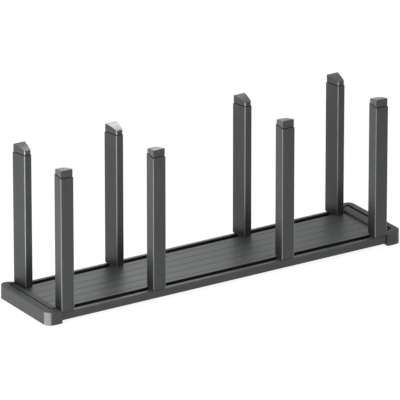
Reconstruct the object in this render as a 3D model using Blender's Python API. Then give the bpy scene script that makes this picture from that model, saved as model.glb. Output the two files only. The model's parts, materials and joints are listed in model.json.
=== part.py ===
"""Adjustable bowl holder for a kitchen drawer.

A slotted aluminium base profile lies on the drawer floor between two moulded end caps.
Eight tapered aluminium posts stand on it in two rows and slide along its two T slots,
so that they can be set close round what stands between them.

Metres, +Z up, +X along the base, the front row of posts on the -Y side.
The origin is on the drawer floor, under the middle of the base.
"""
import math

import bmesh
import bpy
from mathutils import Vector

# Clearances
TOUCH_GAP = 0.0003           # between two pieces that touch on the real object
SLIDE_GAP = 0.0003           # each side of a piece that slides in a slot
CUT_OVERRUN = 0.002          # how far a cutter runs past the faces it cuts

# Base profile, one aluminium extrusion
TOTAL_LENGTH = 0.472         # over both end caps
PROFILE_HEIGHT = 0.0093
PROFILE_LIFT = 0.0029        # its underside above the drawer floor
PROFILE_EDGE_RADIUS = 0.0014
DECK_THICKNESS = 0.0018
SLOT_SPACING = 0.0830        # between the middles of the two T slots
SLOT_OPENING = 0.0076
SLOT_EDGE_CHAMFER = 0.0003
CHAMBER_WIDTH = 0.0130
SIDE_WALL = 0.0027           # between a chamber and the profile's long side
LIP_THICKNESS = 0.0018
CHAMBER_FLOOR = 0.0013
CHAMBER_WALL = 0.0015
GROOVE_COUNT = 5             # spread evenly over the deck between the slots
GROOVE_WIDTH = 0.0009
GROOVE_DEPTH = 0.0005
RIB_THICKNESS = 0.0014
RIB_HEIGHT = 0.0036          # of the two stiffening ribs under the deck

# End caps, moulded, which close the profile and carry it above the drawer floor
CAP_LENGTH = 0.0197
CAP_WALL = 0.0026            # front and rear walls beside the profile
CAP_HEIGHT = 0.01735         # at the crest of its arched top
CAP_INNER_HEIGHT = 0.0149    # of its top at the inner edge
CREST_REACH = 0.0174         # from the inner edge to the crest
CAP_CORNER_RADIUS = 0.0095
CAP_EDGE_REACH = 0.0030      # soft top edge, measured across the top
CAP_EDGE_DROP = 0.0020       # the same edge, measured down the outer faces
CAP_FOOT_RADIUS = 0.0005
CAP_DRAFT = 0.0003           # how far each outer face leans in from the foot to the top
POCKET_DEPTH = 0.0117        # how far the profile enters a cap
POCKET_ROOF = 0.0011         # between the pocket and the tray
CAP_RIM_WIDTH = 0.00925      # beside the tray, at the front and at the rear
RECESS_REACH = 0.01065       # of the tray in a cap's top, from the inner edge of the cap
RECESS_CORNER_RADIUS = 0.0028
TENON_REACH = 0.0120         # tongue under the deck, past the inner edge of a cap
CORE_WALL = 0.0022           # round the hollows under the outer wall of a cap
CORE_COUNT = 5               # spread evenly between the round corners
CORE_ROOF = 0.0030

# Covers, which hide the fixing screws of the end caps
COVER_REVEAL = 0.0013        # open line round a cover
COVER_DROP = 0.00035         # its top below the arch of the end cap
COVER_EDGE_RADIUS = 0.0003
COVER_LIP = 0.0012
COVER_PEG_RADIUS = 0.0015
COVER_PEG_LENGTH = 0.0013
COVER_PEG_SHARES = (0.23, 0.83)    # their places, of half the tray's width

# Fixing screws of the end caps
CAP_SCREW_RADIUS = 0.00145
CAP_SCREW_LENGTH = 0.0078
CAP_SCREW_HEAD_RADIUS = 0.0028
CAP_SCREW_HEAD_HEIGHT = 0.0010

# Anti-slip pads under the end caps
PAD_LENGTH = 0.0084
PAD_WIDTH = 0.0220
PAD_THICKNESS = 0.0012
PAD_STANDOFF = 0.0004        # how far a pad stands out of its seat
PAD_CORNER_RADIUS = 0.0020

# Posts, a tapered tube with its wide side outwards
POST_OUTER_WIDTH = 0.0165
POST_INNER_WIDTH = 0.0091
POST_DEPTH = 0.0200
POST_CORNER_RADIUS = 0.0007
POST_WALL = 0.0015
POST_TOP = 0.1697            # its upper end above the drawer floor
END_POST_GAP = 0.0002        # between an end post's sharp corners and the end cap beside it
LEFT_BAY = 0.119375          # between the middles of posts 1 and 2
RIGHT_BAY = 0.125875         # between the middles of posts 3 and 4

# Post caps
LID_INSET = 0.00065          # its sides inside the sides of the post
LID_OUTER_HEIGHT = 0.0094    # above the upper end of the post, at the wide side
LID_INNER_HEIGHT = 0.0055    # the same at the narrow side
LID_ROOF_RISE = 0.0007       # how far the roof bulges above a straight line
LID_EDGE_RADIUS = 0.0003
LID_REVEAL_HEIGHT = 0.0009
LID_REVEAL_INSET = 0.0013
LID_PLUG_LENGTH = 0.0110
LID_PLUG_CHAMFER = 0.0006

# Foot plugs, pressed into the lower ends of the posts
SOLE_THICKNESS = 0.0006      # flange between a post and the profile
SOLE_INSET = 0.00055
PLUG_LENGTH = 0.0140
PLUG_CHAMFER = 0.0006

# Sliding shoes, which run in the T slots
SHOE_LENGTH = 0.0150
SHOE_THICKNESS = 0.0027
SHOE_CHAMFER = 0.0016
NECK_LENGTH = 0.0110

# Post screws, up through a shoe into a foot plug
POST_SCREW_RADIUS = 0.0020
POST_SCREW_LENGTH = 0.0160
POST_SCREW_HEAD_RADIUS = 0.0036
POST_SCREW_HEAD_HEIGHT = 0.0021
SOCKET_RADIUS = 0.0014
SOCKET_DEPTH = 0.0011

# Forms of the screws
SCREW_TIP_SHARE = 0.55       # end of a screw's point, of its shank
HEAD_RIM_SHARE = 0.55        # upright part of a pan head, of its height
HEAD_TOP_SHARE = 0.72        # flat top of a pan head, of its radius

# Facets
CORNER_STEPS = 4             # round the corners of a post
SMALL_CORNER_STEPS = 2
CAP_CORNER_STEPS = 8
EDGE_STEPS = 3
ROOF_STEPS = 5
ARCH_STEPS = 4               # along the straight sides of an end cap's arched top
SCREW_SIDES = 14

# Heights and places worked out from the sizes above
PROFILE_WIDTH = SLOT_SPACING + CHAMBER_WIDTH + 2 * SIDE_WALL
PROFILE_TOP = PROFILE_LIFT + PROFILE_HEIGHT
CHAMBER_TOP = PROFILE_TOP - LIP_THICKNESS
CHAMBER_BOTTOM = PROFILE_LIFT + CHAMBER_FLOOR
DECK_UNDERSIDE = PROFILE_TOP - DECK_THICKNESS
SLOT_Y = SLOT_SPACING / 2
GROOVE_PITCH = (SLOT_SPACING - SLOT_OPENING) / GROOVE_COUNT
RIB_Y = GROOVE_PITCH
WALL_Y = SLOT_Y - CHAMBER_WIDTH / 2 - CHAMBER_WALL
CAP_INNER_X = TOTAL_LENGTH / 2 - CAP_LENGTH
PROFILE_END_X = CAP_INNER_X + POCKET_DEPTH - TOUCH_GAP
POCKET_HALF_WIDTH = PROFILE_WIDTH / 2 + TOUCH_GAP
CAP_HALF_WIDTH = POCKET_HALF_WIDTH + CAP_WALL
TRAY_HALF_WIDTH = CAP_HALF_WIDTH - CAP_RIM_WIDTH
TRAY_FLOOR = PROFILE_TOP + TOUCH_GAP + POCKET_ROOF
COVER_BOTTOM = TRAY_FLOOR + TOUCH_GAP
CREST_X = CAP_INNER_X + CREST_REACH
FIXING_X = CAP_INNER_X + POCKET_DEPTH / 2
FIXING_Y = (RIB_Y + WALL_Y) / 2
PAD_Y = CAP_HALF_WIDTH - CAP_CORNER_RADIUS - PAD_WIDTH / 2
CORE_PITCH = 2 * (CAP_HALF_WIDTH - CAP_CORNER_RADIUS) / CORE_COUNT
SCREW_SEAT = PROFILE_TOP + TOUCH_GAP
SOLE_BOTTOM = PROFILE_TOP + SLIDE_GAP
POST_BOTTOM = SOLE_BOTTOM + SOLE_THICKNESS + TOUCH_GAP
SHOE_TOP = CHAMBER_TOP - SLIDE_GAP
SHOE_BOTTOM = SHOE_TOP - SHOE_THICKNESS
END_POST_X = CAP_INNER_X - END_POST_GAP - POST_OUTER_WIDTH / 2
POST_PLACES = {1: -END_POST_X, 2: LEFT_BAY - END_POST_X, 3: END_POST_X - RIGHT_BAY, 4: END_POST_X}
LID_BOTTOM = POST_TOP + TOUCH_GAP
POST_SLOPE = math.atan((POST_OUTER_WIDTH - POST_INNER_WIDTH) / 2 / POST_DEPTH)


def principled(name, colour, roughness, metallic):
    """A plain Principled material, with its colour as linear red, green and blue."""
    material = bpy.data.materials.new(name)
    material.use_nodes = True
    shader = material.node_tree.nodes["Principled BSDF"]
    shader.inputs["Base Color"].default_value = (*colour, 1.0)
    shader.inputs["Roughness"].default_value = roughness
    shader.inputs["Metallic"].default_value = metallic
    return material


def mesh_from(name, bm, material, smooth_angle_degrees=35.0):
    """Close off a bmesh as a named mesh with one material, smooth across soft edges."""
    bmesh.ops.recalc_face_normals(bm, faces=bm.faces)
    mesh = bpy.data.meshes.new(name)
    bm.to_mesh(mesh)
    bm.free()
    mesh.materials.append(material)
    mesh.shade_smooth()
    mesh.set_sharp_from_angle(angle=math.radians(smooth_angle_degrees))
    return mesh


def place(name, mesh, parent=None, location=(0, 0, 0), turn=0.0):
    """Add one object for one piece."""
    piece = bpy.data.objects.new(name, mesh)
    bpy.context.collection.objects.link(piece)
    piece.parent = parent
    piece.location = location
    piece.rotation_euler = (0, 0, turn)
    return piece


def combine(mesh, cutters, operation="DIFFERENCE"):
    """Cut a mesh with the cutter meshes, or unite it with them, and keep its name."""
    body = place(mesh.name + "_body", mesh)
    helpers = []
    for number, cutter in enumerate(cutters):
        helper = place(f"{mesh.name}_helper_{number}", cutter)
        modifier = body.modifiers.new(helper.name, "BOOLEAN")
        modifier.operation = operation
        modifier.solver = "EXACT"
        modifier.object = helper
        helpers.append(helper)
    evaluated = body.evaluated_get(bpy.context.evaluated_depsgraph_get())
    result = bpy.data.meshes.new_from_object(evaluated)
    for used in (body, *helpers):
        bpy.data.objects.remove(used)
    result.name = mesh.name
    result.materials.clear()
    result.materials.append(mesh.materials[0])
    result.shade_smooth()
    result.set_sharp_from_angle(angle=math.radians(35.0))
    return result


def arc(centre, radius, start, end, steps):
    """Points on an arc in a plane, from the start angle to the end angle, in radians."""
    points = []
    for step in range(steps + 1):
        angle = start + (end - start) * step / steps
        points.append((centre[0] + radius * math.cos(angle), centre[1] + radius * math.sin(angle)))
    return points


def straight(start, end, steps):
    """Points on a straight line in a plane, with its start and without its end."""
    points = []
    for step in range(steps):
        share = step / steps
        points.append((start[0] + (end[0] - start[0]) * share, start[1] + (end[1] - start[1]) * share))
    return points


def loft(rings, bm=None):
    """Join rings of equally many points by side faces, and close both ends."""
    bm = bm or bmesh.new()
    loops = [[bm.verts.new(point) for point in ring] for ring in rings]
    for lower, upper in zip(loops, loops[1:]):
        for index, corner in enumerate(lower):
            following = (index + 1) % len(lower)
            bm.faces.new((corner, lower[following], upper[following], upper[index]))
    bm.faces.new(loops[0][::-1])
    bm.faces.new(loops[-1])
    return bm


def close_in_strips(bm, rim_points):
    """Take off the last face of a loft and close it by strips between mirrored points.

    The points run round from one end of the rim to its mirror image, so an arched
    surface keeps its form.
    """
    bm.faces.ensure_lookup_table()
    bmesh.ops.delete(bm, geom=[bm.faces[-1]], context="FACES_ONLY")
    bm.verts.ensure_lookup_table()
    rim = list(bm.verts)[-rim_points:]
    for index in range(rim_points // 2 - 1):
        bm.faces.new((rim[index], rim[index + 1], rim[-2 - index], rim[-1 - index]))
    bmesh.ops.triangulate(bm, faces=bm.faces)
    return bm


def box(low, high, bm=None):
    """A box between two corners."""
    bm = bm or bmesh.new()
    outline = ((low[0], low[1]), (high[0], low[1]), (high[0], high[1]), (low[0], high[1]))
    return loft([[(x, y, z) for x, y in outline] for z in (low[2], high[2])], bm)


def pillar(x, y, radius, bottom, top, sides=SCREW_SIDES, bm=None):
    """An upright round bar."""
    turns = [2 * math.pi * side / sides for side in range(sides)]
    outline = [(x + radius * math.cos(turn), y + radius * math.sin(turn)) for turn in turns]
    return loft([[(px, py, z) for px, py in outline] for z in (bottom, top)], bm)


def rounded_rectangle(half_x, half_y, radius, steps, middle=(0, 0)):
    """Outline of a rectangle with four round corners, anticlockwise."""
    points = []
    for quarter, (sign_x, sign_y) in enumerate(((1, 1), (-1, 1), (-1, -1), (1, -1))):
        centre = (middle[0] + sign_x * (half_x - radius), middle[1] + sign_y * (half_y - radius))
        points += arc(centre, radius, quarter * math.pi / 2, (quarter + 1) * math.pi / 2, steps)
    return points


def post_outline(inset, radius, steps, side_steps=1):
    """Right half of a post's section, from the wide side at -Y to the narrow side at +Y.

    Each side lies inside the outer section by the inset, and each corner has the radius.
    """
    half_depth = POST_DEPTH / 2 - inset
    middle_half_width = (POST_OUTER_WIDTH + POST_INNER_WIDTH) / 4 - inset / math.cos(POST_SLOPE)
    # the arc centres lie on lines one radius inside the three straight sides
    centre_half_depth = half_depth - radius
    centre_middle = middle_half_width - radius / math.cos(POST_SLOPE)
    wide_centre = centre_middle + centre_half_depth * math.tan(POST_SLOPE)
    narrow_centre = centre_middle - centre_half_depth * math.tan(POST_SLOPE)
    wide_corner = arc((wide_centre, -centre_half_depth), radius, -math.pi / 2, POST_SLOPE, steps)
    narrow_corner = arc((narrow_centre, centre_half_depth), radius, POST_SLOPE, math.pi / 2, steps)
    points = wide_corner
    first, last = Vector(wide_corner[-1]), Vector(narrow_corner[0])
    for step in range(1, side_steps):
        points.append(tuple(first.lerp(last, step / side_steps)))
    return points + narrow_corner


def whole_ring(half, height):
    """Close a right half outline with its mirror image, at a height or a height function."""
    level = height if callable(height) else lambda y: height
    right = [(x, y, level(y)) for x, y in half]
    left = [(-x, y, z) for x, y, z in reversed(right)]
    return right + left


def profile_outline():
    """Half of the extrusion's section at +Y, from the middle of the deck round to its underside."""
    inner_slot = SLOT_Y - SLOT_OPENING / 2
    outer_slot = SLOT_Y + SLOT_OPENING / 2
    inner_chamber = SLOT_Y - CHAMBER_WIDTH / 2
    outer_chamber = SLOT_Y + CHAMBER_WIDTH / 2
    edge = PROFILE_WIDTH / 2
    radius = PROFILE_EDGE_RADIUS
    points = []
    for groove in range(GROOVE_COUNT // 2 + 1):
        middle = groove * GROOVE_PITCH
        if groove:
            points.append((middle - GROOVE_WIDTH / 2, PROFILE_TOP))
        points.append((middle, PROFILE_TOP - GROOVE_DEPTH))
        points.append((middle + GROOVE_WIDTH / 2, PROFILE_TOP))
    points += [(inner_slot - SLOT_EDGE_CHAMFER, PROFILE_TOP), (inner_slot, PROFILE_TOP - SLOT_EDGE_CHAMFER)]
    points += [(inner_slot, CHAMBER_TOP), (inner_chamber, CHAMBER_TOP), (inner_chamber, CHAMBER_BOTTOM)]
    points += [(outer_chamber, CHAMBER_BOTTOM), (outer_chamber, CHAMBER_TOP), (outer_slot, CHAMBER_TOP)]
    points += [(outer_slot, PROFILE_TOP - SLOT_EDGE_CHAMFER), (outer_slot + SLOT_EDGE_CHAMFER, PROFILE_TOP)]
    points += arc((edge - radius, PROFILE_TOP - radius), radius, math.pi / 2, 0, EDGE_STEPS)
    points += [(edge, PROFILE_LIFT + SLOT_EDGE_CHAMFER), (edge - SLOT_EDGE_CHAMFER, PROFILE_LIFT)]
    points += [(WALL_Y, PROFILE_LIFT), (WALL_Y, DECK_UNDERSIDE)]
    rib_outer = RIB_Y + RIB_THICKNESS / 2
    rib_inner = RIB_Y - RIB_THICKNESS / 2
    rib_bottom = DECK_UNDERSIDE - RIB_HEIGHT
    points += [(rib_outer, DECK_UNDERSIDE), (rib_outer, rib_bottom), (rib_inner, rib_bottom)]
    points.append((rib_inner, DECK_UNDERSIDE))
    return points


def base_profile(material):
    """The extrusion, with its screw holes near both ends."""
    half = profile_outline()
    mirrored = [(-y, z) for y, z in reversed(half) if y > 0]
    section = half + mirrored
    rings = [[(x, y, z) for y, z in section] for x in (-PROFILE_END_X, PROFILE_END_X)]
    mesh = mesh_from("base_profile", loft(rings), material)
    holes = bmesh.new()
    for x in (-FIXING_X, FIXING_X):
        for y in (-FIXING_Y, FIXING_Y):
            pillar(x, y, CAP_SCREW_RADIUS + TOUCH_GAP, DECK_UNDERSIDE - CUT_OVERRUN,
                   PROFILE_TOP + CUT_OVERRUN, bm=holes)
    return combine(mesh, [mesh_from("screw_holes", holes, material)])


def open_outline(outer, half, radius, corner_steps):
    """Outline at the +X end: square at the end cap's inner edge, round at the two outer corners."""
    front = straight((CAP_INNER_X, -half), (outer - radius, -half), ARCH_STEPS)
    front += arc((outer - radius, -half + radius), radius, -math.pi / 2, 0, corner_steps)
    return front + [(x, -y) for x, y in reversed(front)]


def arch_height(x):
    """Height of an end cap's top, which falls in an arch from its crest to its inner edge."""
    share = max(CREST_X - x, 0) / CREST_REACH
    return CAP_HEIGHT - (CAP_HEIGHT - CAP_INNER_HEIGHT) * share ** 2


def cap_outline(inset):
    """Outline of an end cap, inside its largest outline by the inset."""
    return open_outline(TOTAL_LENGTH / 2 - inset, CAP_HALF_WIDTH - inset, CAP_CORNER_RADIUS - inset,
                        CAP_CORNER_STEPS)


def cap_shell():
    """The outer form of an end cap, with its arched top, soft top edge and draft."""
    foot = PAD_STANDOFF
    rings = [[(x, y, foot) for x, y in cap_outline(CAP_FOOT_RADIUS)]]
    rings.append([(x, y, foot + CAP_FOOT_RADIUS) for x, y in cap_outline(0)])
    for step in range(EDGE_STEPS + 2):
        angle = math.pi / 2 * step / (EDGE_STEPS + 1)
        inset = CAP_DRAFT + CAP_EDGE_REACH * (1 - math.cos(angle))
        drop = CAP_EDGE_DROP * (1 - math.sin(angle))
        rings.append([(x, y, arch_height(x) - drop) for x, y in cap_outline(inset)])
    return close_in_strips(loft(rings), len(rings[-1]))


def tray_outline(inset):
    """Outline of the tray in an end cap's top, or of its cover, open to the inner edge."""
    return open_outline(CAP_INNER_X + RECESS_REACH - inset, TRAY_HALF_WIDTH - inset,
                        RECESS_CORNER_RADIUS - inset, EDGE_STEPS)


def end_cap(material):
    """A moulded end cap at +X: shell, pocket for the profile, tongue, tray and hollows."""
    mesh = mesh_from("end_cap", cap_shell(), material)
    pocket = box((CAP_INNER_X - CUT_OVERRUN, -POCKET_HALF_WIDTH, PROFILE_LIFT - TOUCH_GAP),
                 (CAP_INNER_X + POCKET_DEPTH, POCKET_HALF_WIDTH, PROFILE_TOP + TOUCH_GAP))
    tray = [(x if x > CAP_INNER_X else CAP_INNER_X - CUT_OVERRUN, y) for x, y in tray_outline(0)]
    tray_cut = loft([[(x, y, z) for x, y in tray] for z in (TRAY_FLOOR, CAP_HEIGHT + CUT_OVERRUN)])
    # the cover's lip takes the place of the tray's inner edge
    lip_seat = box((CAP_INNER_X - CUT_OVERRUN, -TRAY_HALF_WIDTH, PROFILE_TOP),
                   (CAP_INNER_X + COVER_LIP + TOUCH_GAP, TRAY_HALF_WIDTH, TRAY_FLOOR + TOUCH_GAP))
    wells = bmesh.new()
    for side in (-1, 1):
        pillar(FIXING_X, side * FIXING_Y, CAP_SCREW_HEAD_RADIUS + TOUCH_GAP,
               PROFILE_TOP, TRAY_FLOOR + CUT_OVERRUN, bm=wells)
        for share in COVER_PEG_SHARES:
            pillar(FIXING_X, side * share * TRAY_HALF_WIDTH, COVER_PEG_RADIUS + TOUCH_GAP,
                   PROFILE_TOP, TRAY_FLOOR + CUT_OVERRUN, bm=wells)
    cutters = [pocket, tray_cut, lip_seat, wells, core_cutters(), pad_cutters()]
    mesh = combine(mesh, [mesh_from(f"cap_cutter_{index}", bm, material) for index, bm in enumerate(cutters)])
    mesh = combine(mesh, [mesh_from("tenon", tenon(), material)], "UNION")
    pilots = bmesh.new()
    for side in (-1, 1):
        pillar(FIXING_X, side * FIXING_Y, CAP_SCREW_RADIUS + TOUCH_GAP,
               SCREW_SEAT - CAP_SCREW_LENGTH - TOUCH_GAP, PROFILE_TOP, bm=pilots)
    return combine(mesh, [mesh_from("pilot_holes", pilots, material)])


def tenon():
    """The tongue of an end cap, which fills the open underside of the profile's deck."""
    outer_edge = WALL_Y - TOUCH_GAP
    rib_clear = RIB_THICKNESS / 2 + TOUCH_GAP
    bottom = PROFILE_LIFT - TOUCH_GAP - CAP_FOOT_RADIUS
    top = DECK_UNDERSIDE - TOUCH_GAP
    sunk = DECK_UNDERSIDE - RIB_HEIGHT - TOUCH_GAP
    tongue = bmesh.new()
    section = [(-outer_edge, bottom), (outer_edge, bottom), (outer_edge, top)]
    for side in (1, -1):
        near, far = RIB_Y + rib_clear, RIB_Y - rib_clear
        notch = [(side * near, top), (side * near, sunk), (side * far, sunk), (side * far, top)]
        section += notch if side > 0 else notch[::-1]
    section.append((-outer_edge, top))
    # under the profile the tongue starts at the profile's own lower face
    raised = [(y, max(z, PROFILE_LIFT)) for y, z in section]
    inner = [(CAP_INNER_X - TENON_REACH, y, z) for y, z in raised]
    seat = [(CAP_INNER_X, y, z) for y, z in raised]
    root = [(CAP_INNER_X + CAP_FOOT_RADIUS, y, z) for y, z in section]
    outer = [(CAP_INNER_X + POCKET_DEPTH + CAP_FOOT_RADIUS, y, z) for y, z in section]
    return loft([inner, seat, root, outer], tongue)


def core_cutters():
    """The row of hollows under the thick outer wall of an end cap."""
    hollows = bmesh.new()
    inner = CAP_INNER_X + POCKET_DEPTH + CORE_WALL
    outer = TOTAL_LENGTH / 2 - CAP_DRAFT - CORE_WALL
    for index in range(CORE_COUNT):
        middle = (index - (CORE_COUNT - 1) / 2) * CORE_PITCH
        half_length = (CORE_PITCH - CORE_WALL) / 2
        box((inner, middle - half_length, -CUT_OVERRUN),
            (outer, middle + half_length, CAP_HEIGHT - CORE_ROOF), hollows)
    return hollows


def pad_outline(clearance, middle=(0, 0)):
    """Outline of an anti-slip pad, or of its seat with a clearance all round."""
    return rounded_rectangle(PAD_LENGTH / 2 + clearance, PAD_WIDTH / 2 + clearance,
                             PAD_CORNER_RADIUS + clearance, EDGE_STEPS, middle)


def pad_cutters():
    """The shallow seats of the anti-slip pads."""
    seats = bmesh.new()
    for side in (-1, 1):
        outline = pad_outline(TOUCH_GAP, (FIXING_X, side * PAD_Y))
        loft([[(x, y, z) for x, y in outline] for z in (-CUT_OVERRUN, PAD_THICKNESS + TOUCH_GAP)], seats)
    return seats


def pad(material):
    """An anti-slip pad about its own middle, standing on the drawer floor."""
    rings = [[(x, y, z) for x, y in pad_outline(0)] for z in (0, PAD_THICKNESS)]
    return mesh_from("anti_slip_pad", loft(rings), material)


def cover(material):
    """The cover in an end cap's top, with its lip at the inner edge and its pegs."""
    outline = tray_outline(COVER_REVEAL)
    top_outline = tray_outline(COVER_REVEAL + COVER_EDGE_RADIUS)
    rings = [[(x, y, COVER_BOTTOM) for x, y in outline]]
    rings.append([(x, y, arch_height(x) - COVER_DROP - COVER_EDGE_RADIUS) for x, y in outline])
    rings.append([(x, y, arch_height(x) - COVER_DROP) for x, y in top_outline])
    mesh = mesh_from("end_cap_cover", close_in_strips(loft(rings), len(rings[-1])), material)
    half = TRAY_HALF_WIDTH - COVER_REVEAL
    extras = box((CAP_INNER_X, -half, PROFILE_TOP + TOUCH_GAP),
                 (CAP_INNER_X + COVER_LIP, half, COVER_BOTTOM + COVER_EDGE_RADIUS))
    for side in (-1, 1):
        for share in COVER_PEG_SHARES:
            pillar(FIXING_X, side * share * TRAY_HALF_WIDTH, COVER_PEG_RADIUS,
                   COVER_BOTTOM - COVER_PEG_LENGTH, COVER_BOTTOM + COVER_EDGE_RADIUS, bm=extras)
    return combine(mesh, [mesh_from("lip_and_pegs", extras, material)], "UNION")


def pan_head_screw(shank_radius, length, head_radius, head_height):
    """A pan-head screw about its own axis, its head above the seat at zero and its shank below."""
    turns = [2 * math.pi * side / SCREW_SIDES for side in range(SCREW_SIDES)]
    steps = [(shank_radius * SCREW_TIP_SHARE, -length), (shank_radius, shank_radius - length)]
    steps += [(shank_radius, 0), (head_radius, 0), (head_radius, head_height * HEAD_RIM_SHARE)]
    steps.append((head_radius * HEAD_TOP_SHARE, head_height))
    rings = []
    for radius, height in steps:
        rings.append([(radius * math.cos(turn), radius * math.sin(turn), height) for turn in turns])
    return loft(rings)


def cap_screw(material):
    """A fixing screw of an end cap."""
    form = pan_head_screw(CAP_SCREW_RADIUS, CAP_SCREW_LENGTH, CAP_SCREW_HEAD_RADIUS, CAP_SCREW_HEAD_HEIGHT)
    return mesh_from("cap_screw", form, material)


def post_screw(material):
    """The screw that holds a shoe to its post, with a hexagon socket in its head."""
    form = pan_head_screw(POST_SCREW_RADIUS, POST_SCREW_LENGTH, POST_SCREW_HEAD_RADIUS,
                          POST_SCREW_HEAD_HEIGHT)
    socket = pillar(0, 0, SOCKET_RADIUS, POST_SCREW_HEAD_HEIGHT - SOCKET_DEPTH,
                    POST_SCREW_HEAD_HEIGHT + CUT_OVERRUN, sides=6)
    return combine(mesh_from("post_screw", form, material), [mesh_from("socket", socket, material)])


def post_tube(material):
    """The tapered tube, open at both ends, about the slot's middle line."""
    outer = post_outline(0, POST_CORNER_RADIUS, CORNER_STEPS)
    inner = post_outline(POST_WALL, POST_CORNER_RADIUS / 2, SMALL_CORNER_STEPS)
    mesh = mesh_from("post_tube", loft([whole_ring(outer, z) for z in (POST_BOTTOM, POST_TOP)]), material)
    bore = loft([whole_ring(inner, z) for z in (POST_BOTTOM - CUT_OVERRUN, POST_TOP + CUT_OVERRUN)])
    return combine(mesh, [mesh_from("post_bore", bore, material)])


def roof_height(y):
    """Height of a post cap's roof, an arch that falls from the wide side to the narrow side."""
    half_depth = POST_DEPTH / 2 - LID_INSET
    across = (y + half_depth) / (2 * half_depth)
    straight = LID_OUTER_HEIGHT + (LID_INNER_HEIGHT - LID_OUTER_HEIGHT) * across
    return POST_TOP + straight + 4 * LID_ROOF_RISE * across * (1 - across)


def post_lid(material):
    """A post cap: plug, shadow line, body, soft edge and arched roof."""
    plug_inset = POST_WALL + TOUCH_GAP
    small_radius = POST_CORNER_RADIUS / 2

    def outline(inset, radius):
        return post_outline(inset, radius, CORNER_STEPS, ROOF_STEPS)

    plug_bottom = POST_TOP - LID_PLUG_LENGTH
    body_bottom = POST_TOP + LID_REVEAL_HEIGHT
    body_radius = POST_CORNER_RADIUS - LID_INSET / 2
    tip = outline(plug_inset + LID_PLUG_CHAMFER, small_radius)
    plug = outline(plug_inset, small_radius)
    reveal = outline(LID_REVEAL_INSET, small_radius)
    rings = [whole_ring(tip, plug_bottom), whole_ring(plug, plug_bottom + LID_PLUG_CHAMFER)]
    rings += [whole_ring(plug, LID_BOTTOM), whole_ring(reveal, LID_BOTTOM), whole_ring(reveal, body_bottom)]
    rings.append(whole_ring(outline(LID_INSET, body_radius), body_bottom))
    for step in range(EDGE_STEPS + 1):
        angle = math.pi / 2 * step / EDGE_STEPS
        inset = LID_EDGE_RADIUS * (1 - math.cos(angle))
        drop = LID_EDGE_RADIUS * (1 - math.sin(angle))
        half = outline(LID_INSET + inset, max(body_radius - inset, small_radius / 2))
        rings.append(whole_ring(half, lambda y, drop=drop: roof_height(y) - drop))
    bm = loft(rings[:-1])
    # the roof is filled with strips from side to side, so that its arch is smooth
    bm.faces.ensure_lookup_table()
    bmesh.ops.delete(bm, geom=[bm.faces[-1]], context="FACES_ONLY")
    bm.verts.ensure_lookup_table()
    rim = list(bm.verts)[-len(rings[-1]):]
    roof = [bm.verts.new(point) for point in rings[-1]]
    count = len(roof)
    for index in range(count):
        following = (index + 1) % count
        bm.faces.new((rim[index], rim[following], roof[following], roof[index]))
    for index in range(count // 2 - 1):
        bm.faces.new((roof[index], roof[index + 1], roof[count - 2 - index], roof[count - 1 - index]))
    return mesh_from("post_cap", bm, material)


def foot_plug(material):
    """The plug in a post's lower end, with its sole, drilled for the post screw."""
    inset = POST_WALL + TOUCH_GAP
    radius = POST_CORNER_RADIUS / 2
    sole_top = SOLE_BOTTOM + SOLE_THICKNESS
    top = sole_top + PLUG_LENGTH
    sole = post_outline(SOLE_INSET, POST_CORNER_RADIUS - SOLE_INSET, SMALL_CORNER_STEPS)
    plain = post_outline(inset, radius, SMALL_CORNER_STEPS)
    tip = post_outline(inset + PLUG_CHAMFER, radius, SMALL_CORNER_STEPS)
    rings = [whole_ring(sole, SOLE_BOTTOM), whole_ring(sole, sole_top), whole_ring(plain, sole_top)]
    rings += [whole_ring(plain, top - PLUG_CHAMFER), whole_ring(tip, top)]
    mesh = mesh_from("foot_plug", loft(rings), material)
    bore = pillar(0, 0, POST_SCREW_RADIUS + TOUCH_GAP, SOLE_BOTTOM - CUT_OVERRUN, top + CUT_OVERRUN)
    return combine(mesh, [mesh_from("plug_bore", bore, material)])


def slide_shoe(material):
    """The T-shaped shoe: a plate under the slot's lips, and a neck up through the slot."""
    half_x = SHOE_LENGTH / 2
    half_y = CHAMBER_WIDTH / 2 - SLIDE_GAP
    corners = [(1, 1), (-1, 1), (-1, -1), (1, -1)]
    outline = []
    for sign_x, sign_y in corners:
        along = (sign_x * half_x, sign_y * (half_y - SHOE_CHAMFER))
        beside = (sign_x * (half_x - SHOE_CHAMFER), sign_y * half_y)
        outline += [along, beside] if sign_x * sign_y > 0 else [beside, along]
    plate = loft([[(x, y, z) for x, y in outline] for z in (SHOE_BOTTOM, SHOE_TOP)])
    mesh = mesh_from("slide_shoe", plate, material)
    neck_half_y = SLOT_OPENING / 2 - SLIDE_GAP
    neck = box((-NECK_LENGTH / 2, -neck_half_y, SHOE_TOP - SHOE_THICKNESS / 2),
               (NECK_LENGTH / 2, neck_half_y, SOLE_BOTTOM - TOUCH_GAP))
    mesh = combine(mesh, [mesh_from("shoe_neck", neck, material)], "UNION")
    bore = pillar(0, 0, POST_SCREW_RADIUS + TOUCH_GAP, SHOE_BOTTOM - CUT_OVERRUN,
                  SOLE_BOTTOM + CUT_OVERRUN)
    return combine(mesh, [mesh_from("shoe_bore", bore, material)])


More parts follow.
